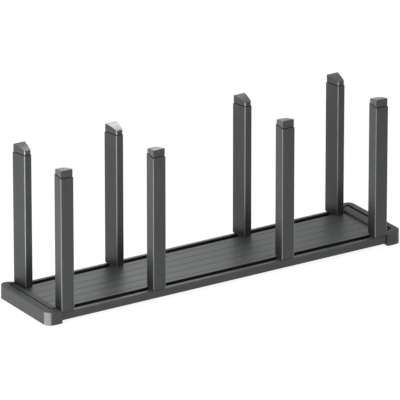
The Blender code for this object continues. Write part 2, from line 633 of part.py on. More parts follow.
def build():
    for old in list(bpy.data.objects):
        bpy.data.objects.remove(old)
    aluminium = principled("anthracite_aluminium", (0.085, 0.086, 0.088), 0.38, 0.85)
    cap_plastic = principled("grey_cap_plastic", (0.100, 0.100, 0.104), 0.45, 0.0)
    dark_plastic = principled("dark_slide_plastic", (0.020, 0.020, 0.021), 0.5, 0.0)
    steel = principled("zinc_plated_steel", (0.62, 0.62, 0.60), 0.3, 1.0)
    rubber = principled("dark_rubber", (0.018, 0.018, 0.018), 0.8, 0.0)

    place("base_profile", base_profile(aluminium))
    whole_ends = {"end_cap": end_cap(cap_plastic), "end_cap_cover": cover(cap_plastic)}
    small_pieces = {"end_cap_screw": (cap_screw(steel), FIXING_Y, SCREW_SEAT),
                    "anti_slip_pad": (pad(rubber), PAD_Y, 0)}
    for end, side_x, turn in (("right", 1, 0.0), ("left", -1, math.pi)):
        for name, mesh in whole_ends.items():
            place(f"{name}_{end}", mesh, turn=turn)
        for name, (mesh, y, z) in small_pieces.items():
            for row, side_y in (("front", -1), ("back", 1)):
                place(f"{name}_{end}_{row}", mesh, location=(side_x * FIXING_X, side_y * y, z))

    post_pieces = {"tube": post_tube(aluminium), "cap": post_lid(cap_plastic),
                   "foot_plug": foot_plug(dark_plastic), "slide_shoe": slide_shoe(dark_plastic),
                   "screw": post_screw(steel)}
    for row, y, turn in (("front", -SLOT_Y, 0.0), ("back", SLOT_Y, math.pi)):
        for number, x in POST_PLACES.items():
            carriage = place(f"post_{row}_{number}", None, location=(x, y, 0), turn=turn)
            for piece, mesh in post_pieces.items():
                placed = place(f"post_{row}_{number}_{piece}", mesh, parent=carriage)
                if piece == "screw":
                    # head down, its flat side against the underside of the shoe
                    placed.location = (0, 0, SHOE_BOTTOM - TOUCH_GAP)
                    placed.rotation_euler = (math.pi, 0, 0)


build()
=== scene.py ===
# %% [markdown]
# # A drawer bowl holder
#
# The object is an adjustable holder for a kitchen drawer. A flat aluminium base lies on the
# drawer's floor between two moulded end caps. Eight tapered aluminium posts stand on it in two
# rows and slide along its two slots. This lesson loads the exact solids, gives the visible ones
# fine edges, dresses them in brushed and moulded finishes, and lights them as in a studio.

# %% Load the solids
import json
import math
import bmesh
import bpy
from mathutils import Matrix, Vector


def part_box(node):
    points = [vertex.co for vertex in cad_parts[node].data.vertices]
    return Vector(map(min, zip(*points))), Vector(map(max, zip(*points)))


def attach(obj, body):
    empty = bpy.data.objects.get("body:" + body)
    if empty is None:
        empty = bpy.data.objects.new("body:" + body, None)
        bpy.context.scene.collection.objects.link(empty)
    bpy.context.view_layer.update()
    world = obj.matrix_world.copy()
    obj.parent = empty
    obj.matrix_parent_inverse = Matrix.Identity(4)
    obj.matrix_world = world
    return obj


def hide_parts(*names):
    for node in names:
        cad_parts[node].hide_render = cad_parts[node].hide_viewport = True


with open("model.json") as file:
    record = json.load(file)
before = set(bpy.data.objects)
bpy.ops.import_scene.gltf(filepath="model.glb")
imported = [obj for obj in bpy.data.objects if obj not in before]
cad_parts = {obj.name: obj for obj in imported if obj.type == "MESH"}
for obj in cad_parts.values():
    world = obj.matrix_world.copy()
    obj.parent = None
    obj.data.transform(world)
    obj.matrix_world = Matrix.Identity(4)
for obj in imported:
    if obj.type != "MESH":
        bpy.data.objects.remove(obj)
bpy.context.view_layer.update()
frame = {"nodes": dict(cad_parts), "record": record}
nodes = frame["nodes"]
body_of = {name: body for body, names in frame["record"]["behaviour"]["bodies"].items()
           for name in names}
slot_of = {entry["node"]: entry["material_slot"] for entry in frame["record"]["subparts"]}

# %% [markdown]
# Whatever is modelled by hand below has to sit exactly where its solid is. So an outer size
# isn't typed again where the solid's box, which is a lowest and a highest corner, gives it.

# %% Places read from the solids
X_AXIS, Y_AXIS, Z_AXIS = 0, 1, 2
MM = 1000                    # in a metre, for what is printed
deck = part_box("base_profile")[1].z
tube_low, tube_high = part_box("post_front_1_tube")
cap_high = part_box("end_cap_right")[1]
cover_low, cover_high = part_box("end_cap_cover_right")
print(f"deck at {deck * MM:.1f} mm, posts from {tube_low.z * MM:.1f} to",
      f"{tube_high.z * MM:.1f} mm")

# %% [markdown]
# The camera stands in front, to the left and a little above, and very far away behind a long
# lens, so that all eight posts look almost equally wide. Its angles were fitted to the edges
# of the base and the posts. A camera in Blender looks along its own negative Z axis, so three
# directions describe how it is turned: its right, its up and its backward one.

# %% Directions of the camera
AZIMUTH_DEGREES = -32.46     # 0 is in front of the object, 90 at its right
ELEVATION_DEGREES = 21.15


def view_axes(azimuth_degrees, elevation_degrees):
    """Right, up and backward directions of a camera at these angles."""
    azimuth, elevation = math.radians(azimuth_degrees), math.radians(elevation_degrees)
    backward = Vector((math.sin(azimuth) * math.cos(elevation),
                       -math.cos(azimuth) * math.cos(elevation), math.sin(elevation)))
    right = Vector((math.cos(azimuth), math.sin(azimuth), 0))
    return right, backward.cross(right), backward


right, up, backward = view_axes(AZIMUTH_DEGREES, ELEVATION_DEGREES)
print("backward is", [round(value, 3) for value in backward])

# %% [markdown]
# The camera aims a few millimetres beside the object's middle, where the photograph has its
# own middle. A shifted lens could do the same, but then the directions would be less plain.

# %% Camera
CAMERA_DISTANCE = 7.354
LENS_MM = 590.4
SENSOR_MM = 36.0
FAR_CLIP = 40.0
MIDDLE = Vector((0.0, 0.0, 0.090))   # of the object
AIM_LEFT = 0.00233           # from there to the photograph's middle
AIM_DOWN = 0.00539
bpy.ops.object.camera_add()
camera = bpy.context.object
camera.name = "photo_camera"
camera.data.sensor_width = SENSOR_MM
camera.data.lens = LENS_MM
camera.data.clip_end = FAR_CLIP
aim = MIDDLE - right * AIM_LEFT - up * AIM_DOWN
turn = Matrix((right, up, backward)).transposed().to_4x4()
camera.matrix_world = Matrix.Translation(aim + backward * CAMERA_DISTANCE) @ turn
bpy.context.scene.camera = camera
print("camera at", [round(value, 3) for value in camera.location])

# %% [markdown]
# A finish is a node tree, and node trees are easier to read as sums than as wires. This small
# class wraps an output socket: adding or multiplying two wires, or a wire and a number, adds
# the Math node that does it. The reflected forms make sums that start with a number work too.

# %% A wire that can be added and multiplied


class Wire:
    """An output socket that takes part in Python arithmetic."""

    def __init__(self, sheet, socket):
        self.sheet = sheet
        self.socket = socket

    def maths(self, operation, first, second):
        """Add the Math node of an operation on two wires or numbers."""
        return self.sheet.node("ShaderNodeMath", {"operation": operation}, {0: first, 1: second})

    def __add__(self, other):
        return self.maths("ADD", self, other)

    def __radd__(self, other):
        return self.maths("ADD", other, self)

    def __sub__(self, other):
        return self.maths("SUBTRACT", self, other)

    def __rsub__(self, other):
        return self.maths("SUBTRACT", other, self)

    def __mul__(self, other):
        return self.maths("MULTIPLY", self, other)

    def __rmul__(self, other):
        return self.maths("MULTIPLY", other, self)

    def __pow__(self, other):
        return self.maths("POWER", self, other)

    def __abs__(self):
        return self.maths("ABSOLUTE", self, 0.0)

    def larger(self, other):
        """The larger one of two wires, or of a wire and a number."""
        return self.maths("MAXIMUM", self, other)

    def ramp(self, start, end):
        """0 up to the start, 1 from the end on, and smooth between them."""
        return self.sheet.node("ShaderNodeMapRange", {"interpolation_type": "SMOOTHSTEP"},
                               {"Value": self, "From Min": start, "From Max": end})


print("made the class", Wire.__name__)

# %% [markdown]
# Every other node comes from one method, which takes the node's type, its settings and what
# goes into its sockets. It is the same for the materials and for the world.

# %% A sheet of nodes


class NodeSheet:
    """The nodes of a material or of the world, under construction."""

    def __init__(self, tree):
        self.tree = tree

    def node(self, kind, settings=None, sockets=None, output=0):
        """Add a node: its settings first, then values or wires for its sockets."""
        made = self.tree.nodes.new(kind)
        for key, value in (settings or {}).items():
            setattr(made, key, value)
        for key, value in (sockets or {}).items():
            if isinstance(value, Wire):
                self.tree.links.new(value.socket, made.inputs[key])
            else:
                made.inputs[key].default_value = value
        return Wire(self, made.outputs[output])

    def feed(self, socket, wire, name="Principled BSDF"):
        """Link a wire to a socket of a node that is there from the start."""
        self.tree.links.new(wire.socket, self.tree.nodes[name].inputs[socket])


print("made the class", NodeSheet.__name__)

# %% [markdown]
# A finish adds what all the materials here have in common: a shader, noise at the piece's own
# places, colours between two colours, and a bump. Values that are the same all over are set
# on the shader itself, so that nothing is lost when the object is exported.

# %% A finish


class Finish(NodeSheet):
    """One material under construction."""

    def __init__(self, name, uniform):
        self.material = bpy.data.materials.new(name)
        self.material.use_nodes = True
        super().__init__(self.material.node_tree)
        self.shader = self.tree.nodes["Principled BSDF"]
        for socket, value in uniform.items():
            self.shader.inputs[socket].default_value = value

    def place(self):
        """The piece's own coordinates in metres."""
        return self.node("ShaderNodeTexCoord", output="Object")

    def place_xyz(self):
        """The piece's own coordinates in metres as three wires."""
        split = {"Vector": self.place()}
        return [self.node("ShaderNodeSeparateXYZ", {}, split, output=axis) for axis in "XYZ"]

    def stretched(self, scale):
        """The piece's own coordinates, each multiplied by a number."""
        return self.node("ShaderNodeMapping", {}, {"Vector": self.place(), "Scale": scale})

    def mark(self, name):
        """A number that was written on the piece's own faces while it was modelled."""
        return self.node("ShaderNodeAttribute", {"attribute_name": name}, output="Fac")

    def noise(self, vector, scale, detail=3.0, roughness=0.55):
        """Noise between 0 and 1 at the places of a vector."""
        return self.node("ShaderNodeTexNoise", {}, {"Vector": vector, "Scale": scale,
                                                    "Detail": detail, "Roughness": roughness})

    def colours(self, share, low, high):
        """A colour between two colours, each given as numbers or as a wire."""
        ends = [end if isinstance(end, Wire) else (*end, 1) for end in (low, high)]
        # A Mix node has sockets for each type of data: 6 and 7 take colours, and 2 gives one.
        return self.node("ShaderNodeMix", {"data_type": "RGBA", "clamp_factor": True},
                         {0: share, 6: ends[0], 7: ends[1]}, output=2)

    def bump(self, height, strength, distance):
        """Raise the surface by a height wire."""
        lifted = self.node("ShaderNodeBump", {}, {"Height": height, "Strength": strength,
                                                  "Distance": distance})
        self.feed("Normal", lifted)


print("made the class", Finish.__name__)

# %% [markdown]
# The slots of the base and the foot of a post, on all its sides but the outer one, lie in
# shade, and that shade is painted into the colour as near black: painted shade. It could be
# painted on each piece, but both places are simple, so ramps along the piece's own axes find
# them. Such a mask is 0 where the colour is left alone and nears 1 where shade is painted.

# %% Where shade is painted on the aluminium
# Painted shade: a near-black colour put where shade falls, in slots, at feet and in open lines.
PAINTED_SHADE = (0.003, 0.003, 0.003)
SLOT_MIDDLE = -(tube_low.y + tube_high.y) / 2    # a post stands on the middle of its slot
SLOT_HALF_WIDTH = 0.0041     # with its chamfers
SLOT_FADE = 0.0005
FOOT_REACH = 0.048           # how far the painted shade goes up a post
FLANK_REACH = 0.012          # the same, on the flanks of the back row
FOOT_STRENGTH = 0.75
OUTER_FADE = (0.0008, 0.0001)        # the painted shade ends between these distances from the outer side
FLANK_FADE = (0.0005, 0.0010)        # a flank begins between these from the inner side


def slot_shade(finish):
    """Painted shade: 1 in the slots and on their chamfers, 0 elsewhere."""
    _, y, _ = finish.place_xyz()
    return 1 - abs(abs(y) - SLOT_MIDDLE).ramp(SLOT_HALF_WIDTH, SLOT_HALF_WIDTH + SLOT_FADE)


def foot_shade(finish):
    """Painted shade, strongest at a post's foot, fading upwards, and nothing on its outer side.
    """
    _, y, z = finish.place_xyz()
    high = 1 - z.ramp(tube_low.z, tube_low.z + FOOT_REACH)
    low = 1 - z.ramp(tube_low.z, tube_low.z + FLANK_REACH)
    back_flank = y.ramp(*(-tube_high.y + fade for fade in FLANK_FADE))
    outer_side = abs(y).ramp(*(-tube_low.y - fade for fade in OUTER_FADE))
    return (high + (low - high) * back_flank) * (1 - outer_side) * FOOT_STRENGTH


print(f"slots {SLOT_MIDDLE * MM:.1f} mm from the middle")

# %% [markdown]
# The base and the posts are extruded aluminium, brushed with a belt and anodised anthracite.
# Brushing leaves hairlines in one direction: along the base, and up the posts. A picture of
# scratches would repeat, so noise makes them, drawn out in that direction. Broad streaks and
# fine hairlines both shade the colour, vary the roughness and scratch the surface. The dyed
# skin mirrors less than bare metal does, so the shader is only half metallic. The corners get
# a painted highlight, a pale and smoother colour like bare metal, and where that is, is
# written on the mesh as a mark. The slots and the feet of the posts get painted shade.

# %% Brushed aluminium
HAIRLINE = 0.00022           # width of one scratch
STREAK = 0.0016              # width of a broad streak
GRAIN_LENGTH = 0.035
CLOUDS_PER_METRE = 30.0
STREAK_SHADE, HAIRLINE_SHADE, CLOUD_SHADE = 0.45, 0.35, 0.20     # their shares of the shade
ANODISED = ((0.018, 0.020, 0.021), (0.056, 0.058, 0.059))
# The colour of the painted highlight on the posts' corners, pale like bare metal.
HIGHLIGHT_METAL = (0.23, 0.23, 0.227)
HIGHLIGHT_LEAST, HIGHLIGHT_SPREAD = 0.75, 0.5      # the painted highlight is patchy with the clouds
BRUSHED_ROUGHNESS = 0.36
BRUSH_VARIATION = 0.10       # how much rougher the palest streak and hairline are
HIGHLIGHT_SMOOTHER = 0.16
SHADED_METAL_ROUGHER = 0.2
STREAK_DEPTH = 0.6           # as a share of a hairline's
SCRATCH_DEPTH = 0.00002


def brushed_aluminium(name, along, shade_mask):
    """Anthracite aluminium, brushed along one axis of the piece."""
    finish = Finish(name, {"Metallic": 0.5, "IOR": 1.5})
    stretch = [1.0, 1.0, 1.0]
    stretch[along] = STREAK / GRAIN_LENGTH
    place = finish.stretched(stretch)
    streaks = finish.noise(place, 1 / STREAK, detail=2.0)
    hairlines = finish.noise(place, 1 / HAIRLINE, detail=2.0, roughness=0.7)
    cloud = finish.noise(finish.place(), CLOUDS_PER_METRE, detail=2.0)
    shade = streaks * STREAK_SHADE + hairlines * HAIRLINE_SHADE + cloud * CLOUD_SHADE
    # A painted highlight along the corners makes the colour pale and the surface smoother.
    painted_highlight = finish.mark("painted_highlight") * (HIGHLIGHT_LEAST + HIGHLIGHT_SPREAD * cloud)
    # Painted shade darkens the colour in the slots of the base and at the feet of the posts.
    shade_share = shade_mask(finish)
    highlit_colour = finish.colours(painted_highlight, finish.colours(shade, *ANODISED), HIGHLIGHT_METAL)
    finish.feed("Base Color", finish.colours(shade_share, highlit_colour, PAINTED_SHADE))
    brushed = streaks * BRUSH_VARIATION + hairlines * BRUSH_VARIATION + BRUSHED_ROUGHNESS
    finish.feed("Roughness", brushed - painted_highlight * HIGHLIGHT_SMOOTHER + shade_share * SHADED_METAL_ROUGHER)
    finish.bump(hairlines + streaks * STREAK_DEPTH, strength=0.25, distance=SCRATCH_DEPTH)
    return finish.material


base_aluminium = brushed_aluminium("anthracite_aluminium_base", X_AXIS, slot_shade)
post_aluminium = brushed_aluminium("anthracite_aluminium_posts", Z_AXIS, foot_shade)
print("nodes in the posts' finish:", len(post_aluminium.node_tree.nodes))

# %% [markdown]
# The outer corners of the end caps are round, and a pale painted highlight lies on them. Their
# tops are coarser than their outer walls. Both could be marked on faces of the mesh, but then
# they would end sharply at an edge, and ramps let them fade. How far a place lies from the
# middle of a corner's rounding tells the corner, the wall and the top apart.

# %% Where the end caps get a painted highlight or are coarse
CAP_CORNER_RADIUS = 0.0095
CORNER_MIDDLE = (cap_high.x - CAP_CORNER_RADIUS, cap_high.y - CAP_CORNER_RADIUS)
HIGHLIGHT_PAST_X = (0.0030, 0.0050)     # past the middle of the rounding
HIGHLIGHT_PAST_Y = (0.0012, 0.0022)
HIGHLIGHT_RADII = (0.00895, 0.0092)
TOP_RADII = (0.0086, 0.0093)


def past_corner(finish):
    """How far a place lies past the middle of the nearest rounding, along X and along Y."""
    x, y, _ = finish.place_xyz()
    return abs(x) - CORNER_MIDDLE[0], abs(y) - CORNER_MIDDLE[1]


def squared(radii):
    """The squares of the radii between which a ramp runs."""
    return [radius ** 2 for radius in radii]


def round_corners(finish):
    """Painted highlight: 1 on the four round outer corners of the end caps, 0 elsewhere."""
    past_x, past_y = past_corner(finish)
    round_part = past_x.ramp(*HIGHLIGHT_PAST_X) * past_y.ramp(*HIGHLIGHT_PAST_Y)
    return round_part * (past_x ** 2 + past_y ** 2).ramp(*squared(HIGHLIGHT_RADII))


def cap_tops(finish):
    """1 inside the outline of the end caps, 0 on their outer walls."""
    past_x, past_y = (past.larger(0.0) for past in past_corner(finish))
    return 1 - (past_x ** 2 + past_y ** 2).ramp(*squared(TOP_RADII))


print(f"corners {CAP_CORNER_RADIUS * MM:.1f} mm round")

# %% [markdown]
# A cover lies in its end cap with an open line round it, which is deep, and its shade is
# painted into the colour as near black. The line begins on the cover's rounded edge and ends
# at the end cap's rim.

# %% The open line round a cover
OPEN_LINE = 0.0013           # its width
LINE_BEGINS = (-0.0025, -0.0020)     # from its outer edge inwards
LINE_ENDS = (0.0002, 0.0006)         # and outwards


def open_line(finish):
    """Painted shade: 1 in the open line round a cover and on its rounded edge, 0 elsewhere."""
    x, y, _ = finish.place_xyz()
    past = (abs(x) - (cover_high.x + OPEN_LINE)).larger(abs(y) - (cover_high.y + OPEN_LINE))
    return past.ramp(*LINE_BEGINS) * (1 - past.ramp(*LINE_ENDS))


print(f"open line {OPEN_LINE * MM:.1f} mm wide")

# %% [markdown]
# The end caps, their covers, the post caps and the hidden feet are injection moulded. The
# mould is spark eroded, which gives a fine even grain. One recipe makes them all, because they
# differ only in depth of grain, tone and gloss, and in where a highlight or shade is painted
# on them. The plastic is nearly black inside, and its skin mirrors the white room enough to
# look grey.

# %% A recipe for moulded plastic
GRAIN_SIZE = 0.00045
PATCHES_PER_METRE = 45.0
GRAIN_SHADE, PATCH_SHADE = 0.4, 0.6      # their shares of the shade
GRAIN_GLOSS = 0.08           # how much the roughness varies with the grain
PATCH_GLOSS = 0.10           # and from patch to patch
PALE_LEAST, PALE_SPREAD = 0.7, 0.6       # the painted highlight is patchy too
SHADED_PLASTIC_ROUGHER = 0.35
COARSE_ROUGHER = 0.27


def moulded_plastic(name, dark, light, roughness, grain_depth, ior=1.5, painted_highlight=None, highlit_colour=None,
                    shade_mask=None, coarse=None):
    """Moulded plastic with a fine eroded grain, a faint cloudiness, and painted light and shade
    where asked.
    """
    finish = Finish(name, {"Metallic": 0.0, "IOR": ior})
    own = finish.place()
    grain = finish.noise(own, 1 / GRAIN_SIZE, detail=2.0, roughness=0.6)
    patch = finish.noise(own, PATCHES_PER_METRE, detail=3.0)
    skin = finish.colours(grain * GRAIN_SHADE + patch * PATCH_SHADE, dark, light)
    middle = roughness - (GRAIN_GLOSS + PATCH_GLOSS) / 2
    dull = grain * GRAIN_GLOSS + patch * PATCH_GLOSS + middle
    # A painted highlight: a paler colour where the mask asks.
    if painted_highlight:
        pale = painted_highlight(finish) * (PALE_LEAST + PALE_SPREAD * patch)
        skin = finish.colours(pale, skin, highlit_colour)
    # Painted shade: near black where the mask asks, such as the open line round a cover, and
    # rougher.
    if shade_mask:
        shade_share = shade_mask(finish)
        skin = finish.colours(shade_share, skin, PAINTED_SHADE)
        dull = dull + shade_share * SHADED_PLASTIC_ROUGHER
    if coarse:
        dull = dull + coarse(finish) * COARSE_ROUGHER
    finish.feed("Base Color", skin)
    finish.feed("Roughness", dull)
    finish.bump(grain, strength=0.30, distance=grain_depth)
    return finish.material


print("made the recipe", moulded_plastic.__name__)

# %% [markdown]
# The end caps are dull and the post caps glossier, so that their roofs shine. The corners of
# a post cap's narrow side carry a mark for a painted highlight. The feet in the slots are
# plain and dark.

# %% Three plastics
# The end caps get a painted highlight on their round corners and painted shade in the open line.
cap_plastic = moulded_plastic(
    "grey_cap_plastic", dark=(0.017, 0.018, 0.019), light=(0.031, 0.032, 0.033),
    roughness=0.42, grain_depth=0.00003, ior=1.40,
    painted_highlight=round_corners, highlit_colour=(0.112, 0.114, 0.116), shade_mask=open_line, coarse=cap_tops)
# The post caps get a painted highlight on the corners of their narrow side.
lid_plastic = moulded_plastic(
    "grey_post_cap_plastic", dark=(0.012, 0.013, 0.014), light=(0.025, 0.026, 0.027),
    roughness=0.28, grain_depth=0.00002, ior=1.48,
    painted_highlight=lambda finish: finish.mark("painted_highlight"), highlit_colour=(0.185, 0.187, 0.190))
slide_plastic = moulded_plastic(
    "dark_slide_plastic", dark=(0.012, 0.012, 0.013), light=(0.024, 0.024, 0.025),
    roughness=0.45, grain_depth=0.00002)
print("nodes in the end caps' finish:", len(cap_plastic.node_tree.nodes))

# %% [markdown]
# The screws are zinc plated steel and the pads are soft rubber. Both are hidden in normal use,
# so their finishes only need the right colour, some speckle and, on the pads, moulded ribs.
# The ribs are too fine to model, so a wave texture raises them.

# %% Zinc and rubber
ZINC = ((0.50, 0.50, 0.48), (0.70, 0.70, 0.67))
ZINC_ROUGHNESS, ZINC_VARIATION = 0.20, 0.16
CRYSTALS_PER_METRE = 1800.0
CRYSTAL_HEIGHT = 0.00001
RUBBER = ((0.011, 0.011, 0.011), (0.030, 0.030, 0.030))
RUBBER_ROUGHNESS, RUBBER_VARIATION = 0.68, 0.15
SPECKS_PER_METRE = 900.0
SPECK_SHADE, RIB_SHADE = 0.7, 0.3        # their shares of the rubber's shade
SPECK_HEIGHT = 0.2           # as a share of a rib's
RIB_SPACING = 0.0016
RIB_HEIGHT = 0.0002
WAVE_SPACING = math.pi / 10  # between the bands of a wave texture of scale 1


def zinc_plating(name):
    """Bright zinc with a faint crystal speckle."""
    finish = Finish(name, {"Metallic": 1.0})
    speckle = finish.noise(finish.place(), CRYSTALS_PER_METRE, detail=2.0)
    finish.feed("Base Color", finish.colours(speckle, *ZINC))
    finish.feed("Roughness", speckle * ZINC_VARIATION + ZINC_ROUGHNESS)
    finish.bump(speckle, strength=0.15, distance=CRYSTAL_HEIGHT)
    return finish.material


def ribbed_rubber(name):
    """Dull rubber with ribs across the base."""
    finish = Finish(name, {"Metallic": 0.0, "IOR": 1.45})
    own = finish.place()
    ribs = finish.node("ShaderNodeTexWave", {"bands_direction": "Y"},
                       {"Vector": own, "Scale": WAVE_SPACING / RIB_SPACING}, output="Fac")
    specks = finish.noise(own, SPECKS_PER_METRE)
    shade = specks * SPECK_SHADE + ribs * RIB_SHADE
    finish.feed("Base Color", finish.colours(shade, *RUBBER))
    finish.feed("Roughness", specks * RUBBER_VARIATION + RUBBER_ROUGHNESS)
    finish.bump(ribs + specks * SPECK_HEIGHT, strength=0.6, distance=RIB_HEIGHT)
    return finish.material


steel = zinc_plating("zinc_plated_steel")
rubber = ribbed_rubber("dark_rubber")
print(f"ribs {RIB_SPACING * MM:.1f} mm apart")

# %% [markdown]
# Every solid gets the finish of its slot. Shoes, plugs, screws and pads are done with that.
# The others won't be seen themselves, because finer pieces stand for them later.

# %% Dress the solids
finish_of = {"anthracite_aluminium": post_aluminium, "grey_cap_plastic": cap_plastic,
             "dark_slide_plastic": slide_plastic, "zinc_plated_steel": steel,
             "dark_rubber": rubber}
for name, node in nodes.items():
    node.data.materials.clear()
    node.data.materials.append(finish_of[slot_of[name]])
print("finishes:", ", ".join(sorted(finish_of)))

# %% [markdown]
# Modelling by hand means: add a primitive, open it in edit mode, select something, use a tool
# on it. The object stays at the origin all the time and only its mesh is moved, so that a
# grain that follows the object's coordinates stays where it belongs.

# %% A block to start from


def start_block(name, low, high):
    """Add a cube, open it in edit mode and give it the size and place of a box."""
    bpy.ops.object.select_all(action="DESELECT")
    bpy.ops.mesh.primitive_cube_add(size=1, location=(0, 0, 0))
    piece = bpy.context.object
    piece.name = piece.data.name = name
    bpy.ops.object.mode_set(mode="EDIT")
    bpy.ops.transform.resize(value=Vector(high) - Vector(low), center_override=(0, 0, 0))
    bpy.ops.transform.translate(value=(Vector(low) + Vector(high)) / 2)
    return piece


print("made the tool", start_block.__name__)

# %% [markdown]
# In a script, the selecting is done by place: a face or an edge counts when all its corners
# pass a test. Where places aren't enough, a second test can ask something of the whole edge.

# %% Select by place
NEAR = 0.00002               # places closer than this are the same


def near(first, second, reach=NEAR):
    """Whether two lengths are the same, within a reach."""
    return abs(first - second) < reach


def pick(piece, kind, test, fits=None):
    """Select only the vertices, edges or faces that fit and whose every corner passes a test."""
    bpy.ops.mesh.select_mode(type=kind)
    bpy.ops.mesh.select_all(action="DESELECT")
    mesh = bmesh.from_edit_mesh(piece.data)
    mesh.normal_update()
    parts = {"VERT": mesh.verts, "EDGE": mesh.edges, "FACE": mesh.faces}[kind]
    for part in parts:
        corners = [part] if kind == "VERT" else part.verts
        part.select = all(test(corner.co) for corner in corners) and (not fits or fits(part))
    chosen = sum(part.select for part in parts)
    mesh.select_flush_mode()
    bmesh.update_edit_mesh(piece.data)
    return chosen


print(f"places match within {NEAR * MM:.2f} mm")

# %% [markdown]
# ## The posts
#
# A post is a tube whose wide side faces outwards and whose other side is much narrower, so
# that its two flanks slope. It is sawn from an extrusion. Its outline could be drawn point by
# point, but a block that is scaled down at its inner side has the same taper with two sizes.

# %% The section of a post
POST_WIDTH = 0.0165          # between the wide side's corners, before they are rounded
POST_NARROW_WIDTH = 0.0091
POST_DEPTH = tube_high.y - tube_low.y
POST_WALL = 0.0015
POST_CORNER_RADIUS = 0.0007
FLANK_SLOPE = (POST_WIDTH - POST_NARROW_WIDTH) / 2 / POST_DEPTH


def section(inset):
    """Half the wide side, half the narrow side and half the depth, all an inset smaller."""
    half_depth = POST_DEPTH / 2 - inset
    middle = (POST_WIDTH + POST_NARROW_WIDTH) / 4 - inset * math.sqrt(1 + FLANK_SLOPE ** 2)
    return middle + half_depth * FLANK_SLOPE, middle - half_depth * FLANK_SLOPE, half_depth


def tapered_block(name, inset, bottom, top):
    """A block with a post's section, its wide side at -Y, about the Z axis."""
    wide, narrow, half_depth = section(inset)
    piece = start_block(name, (-wide, -half_depth, bottom), (wide, half_depth, top))
    pick(piece, "VERT", lambda corner: corner.y > 0)
    bpy.ops.transform.resize(value=(narrow / wide, 1, 1), center_override=(0, half_depth, 0))
    return piece


print(f"post {POST_WIDTH * MM:.2f} and {POST_NARROW_WIDTH * MM:.2f} mm wide,",
      f"{POST_DEPTH * MM:.1f} mm deep")

# %% [markdown]
# The bore has the same shape as the outside, one wall smaller. Both ends are inset by the
# wall, and bridging the two inset faces opens the tube from end to end.

# %% The tube and its bore
BORE_REACH = 0.0003          # corners up to this far outside the bore's walls belong to it
bore_half_width, _, bore_half_depth = section(POST_WALL)


def in_bore(corner):
    """Whether a corner belongs to the bore."""
    return (abs(corner.x) < bore_half_width + BORE_REACH
            and abs(corner.y) < bore_half_depth + BORE_REACH)


tube = tapered_block("post_tube", 0, tube_low.z, tube_high.z)
for end_z in (tube_low.z, tube_high.z):
    pick(tube, "FACE", lambda corner: near(corner.z, end_z))
    bpy.ops.mesh.inset(thickness=POST_WALL)
ends = pick(tube, "FACE", in_bore)
bpy.ops.mesh.bridge_edge_loops()
print("bridged", ends, "ends into a bore")

# %% [markdown]
# Upright corners are rounded by a bevel. A tool leaves what it made selected, so right after
# the bevel its new faces can be given a mark, a number that the finish reads.

# %% Tools for upright corners


def is_upright(edge):
    """Whether an edge stands upright."""
    first, second = (corner.co for corner in edge.verts)
    return near(first.x, second.x) and near(first.y, second.y)


def round_uprights(piece, test, radius, segments):
    """Round the upright edges that pass the test, and count them."""
    chosen = pick(piece, "EDGE", test, is_upright)
    bpy.ops.mesh.bevel(offset=radius, segments=segments, affect="EDGES")
    return chosen


def mark_selected(piece, name, value):
    """Write a number on the selected faces of a piece."""
    mesh = bmesh.from_edit_mesh(piece.data)
    layer = mesh.faces.layers.float.get(name) or mesh.faces.layers.float.new(name)
    for face in mesh.faces:
        if face.select:
            face[layer] = value
    bmesh.update_edit_mesh(piece.data)


print("made the tools", round_uprights.__name__, "and", mark_selected.__name__)

# %% [markdown]
# The die that an extrusion comes out of has round corners, so the tube has them inside and
# outside. Those outside get a painted highlight, the ones at the narrow side most.

# %% Round the tube's corners
CORNER_SEGMENTS = 6
BORE_SEGMENTS = 3
INNER_HIGHLIGHT = 1.0             # how strong the painted highlight is
OUTER_HIGHLIGHT = 0.75
rounded = round_uprights(tube, lambda corner: corner.y > 0 and not in_bore(corner),
                         POST_CORNER_RADIUS, CORNER_SEGMENTS)
# These rounded faces carry the painted highlight.
mark_selected(tube, "painted_highlight", INNER_HIGHLIGHT)
rounded += round_uprights(tube, lambda corner: corner.y < 0 and not in_bore(corner),
                          POST_CORNER_RADIUS, CORNER_SEGMENTS)
# These rounded faces carry a weaker painted highlight.
mark_selected(tube, "painted_highlight", OUTER_HIGHLIGHT)
rounded += round_uprights(tube, in_bore, POST_CORNER_RADIUS / 2, BORE_SEGMENTS)
print("rounded", rounded, "upright edges")

# %% [markdown]
# A rim is the edge between a wall and a level face, and a bevel of it mustn't get the other
# edges of that face. Its two faces tell it apart: one looks up or down, the other sideways.

# %% Tell a rim
WALL_TILT = 0.2              # most that a wall's normal points up or down
LEVEL_TILT = 0.8             # least that a level face's normal does


def is_rim(edge):
    """Whether an edge lies between a wall and a level face."""
    tilts = sorted(abs(face.normal.z) for face in edge.link_faces)
    return len(tilts) == 2 and tilts[0] < WALL_TILT and tilts[1] > LEVEL_TILT


print(f"a wall leans less than {math.degrees(math.asin(WALL_TILT)):.0f} degrees")

# %% [markdown]
# A finished piece is shaded smooth across its soft edges. A weighted normal modifier then
# keeps the large faces flat, so that light runs straight across them and turns only in the
# roundings.

# %% A tool to finish a piece
SMOOTH_DEGREES = 35.0


def finish_piece(piece):
    """Leave edit mode, smooth the soft edges and keep the large faces flat."""
    bpy.ops.object.mode_set(mode="OBJECT")
    bpy.ops.object.select_all(action="DESELECT")
    piece.select_set(True)
    bpy.context.view_layer.objects.active = piece
    bpy.ops.object.shade_smooth_by_angle(angle=math.radians(SMOOTH_DEGREES))
    bpy.ops.object.modifier_add(type="WEIGHTED_NORMAL")
    piece.modifiers[-1].keep_sharp = True
    bpy.ops.object.modifier_apply(modifier=piece.modifiers[-1].name)
    print(piece.name, len(piece.data.polygons), "faces")


print(f"edges up to {SMOOTH_DEGREES:.0f} degrees are shaded smooth")

# %% [markdown]
# The sawn ends of the tube are lightly deburred: a tiny bevel round both rims of each end.

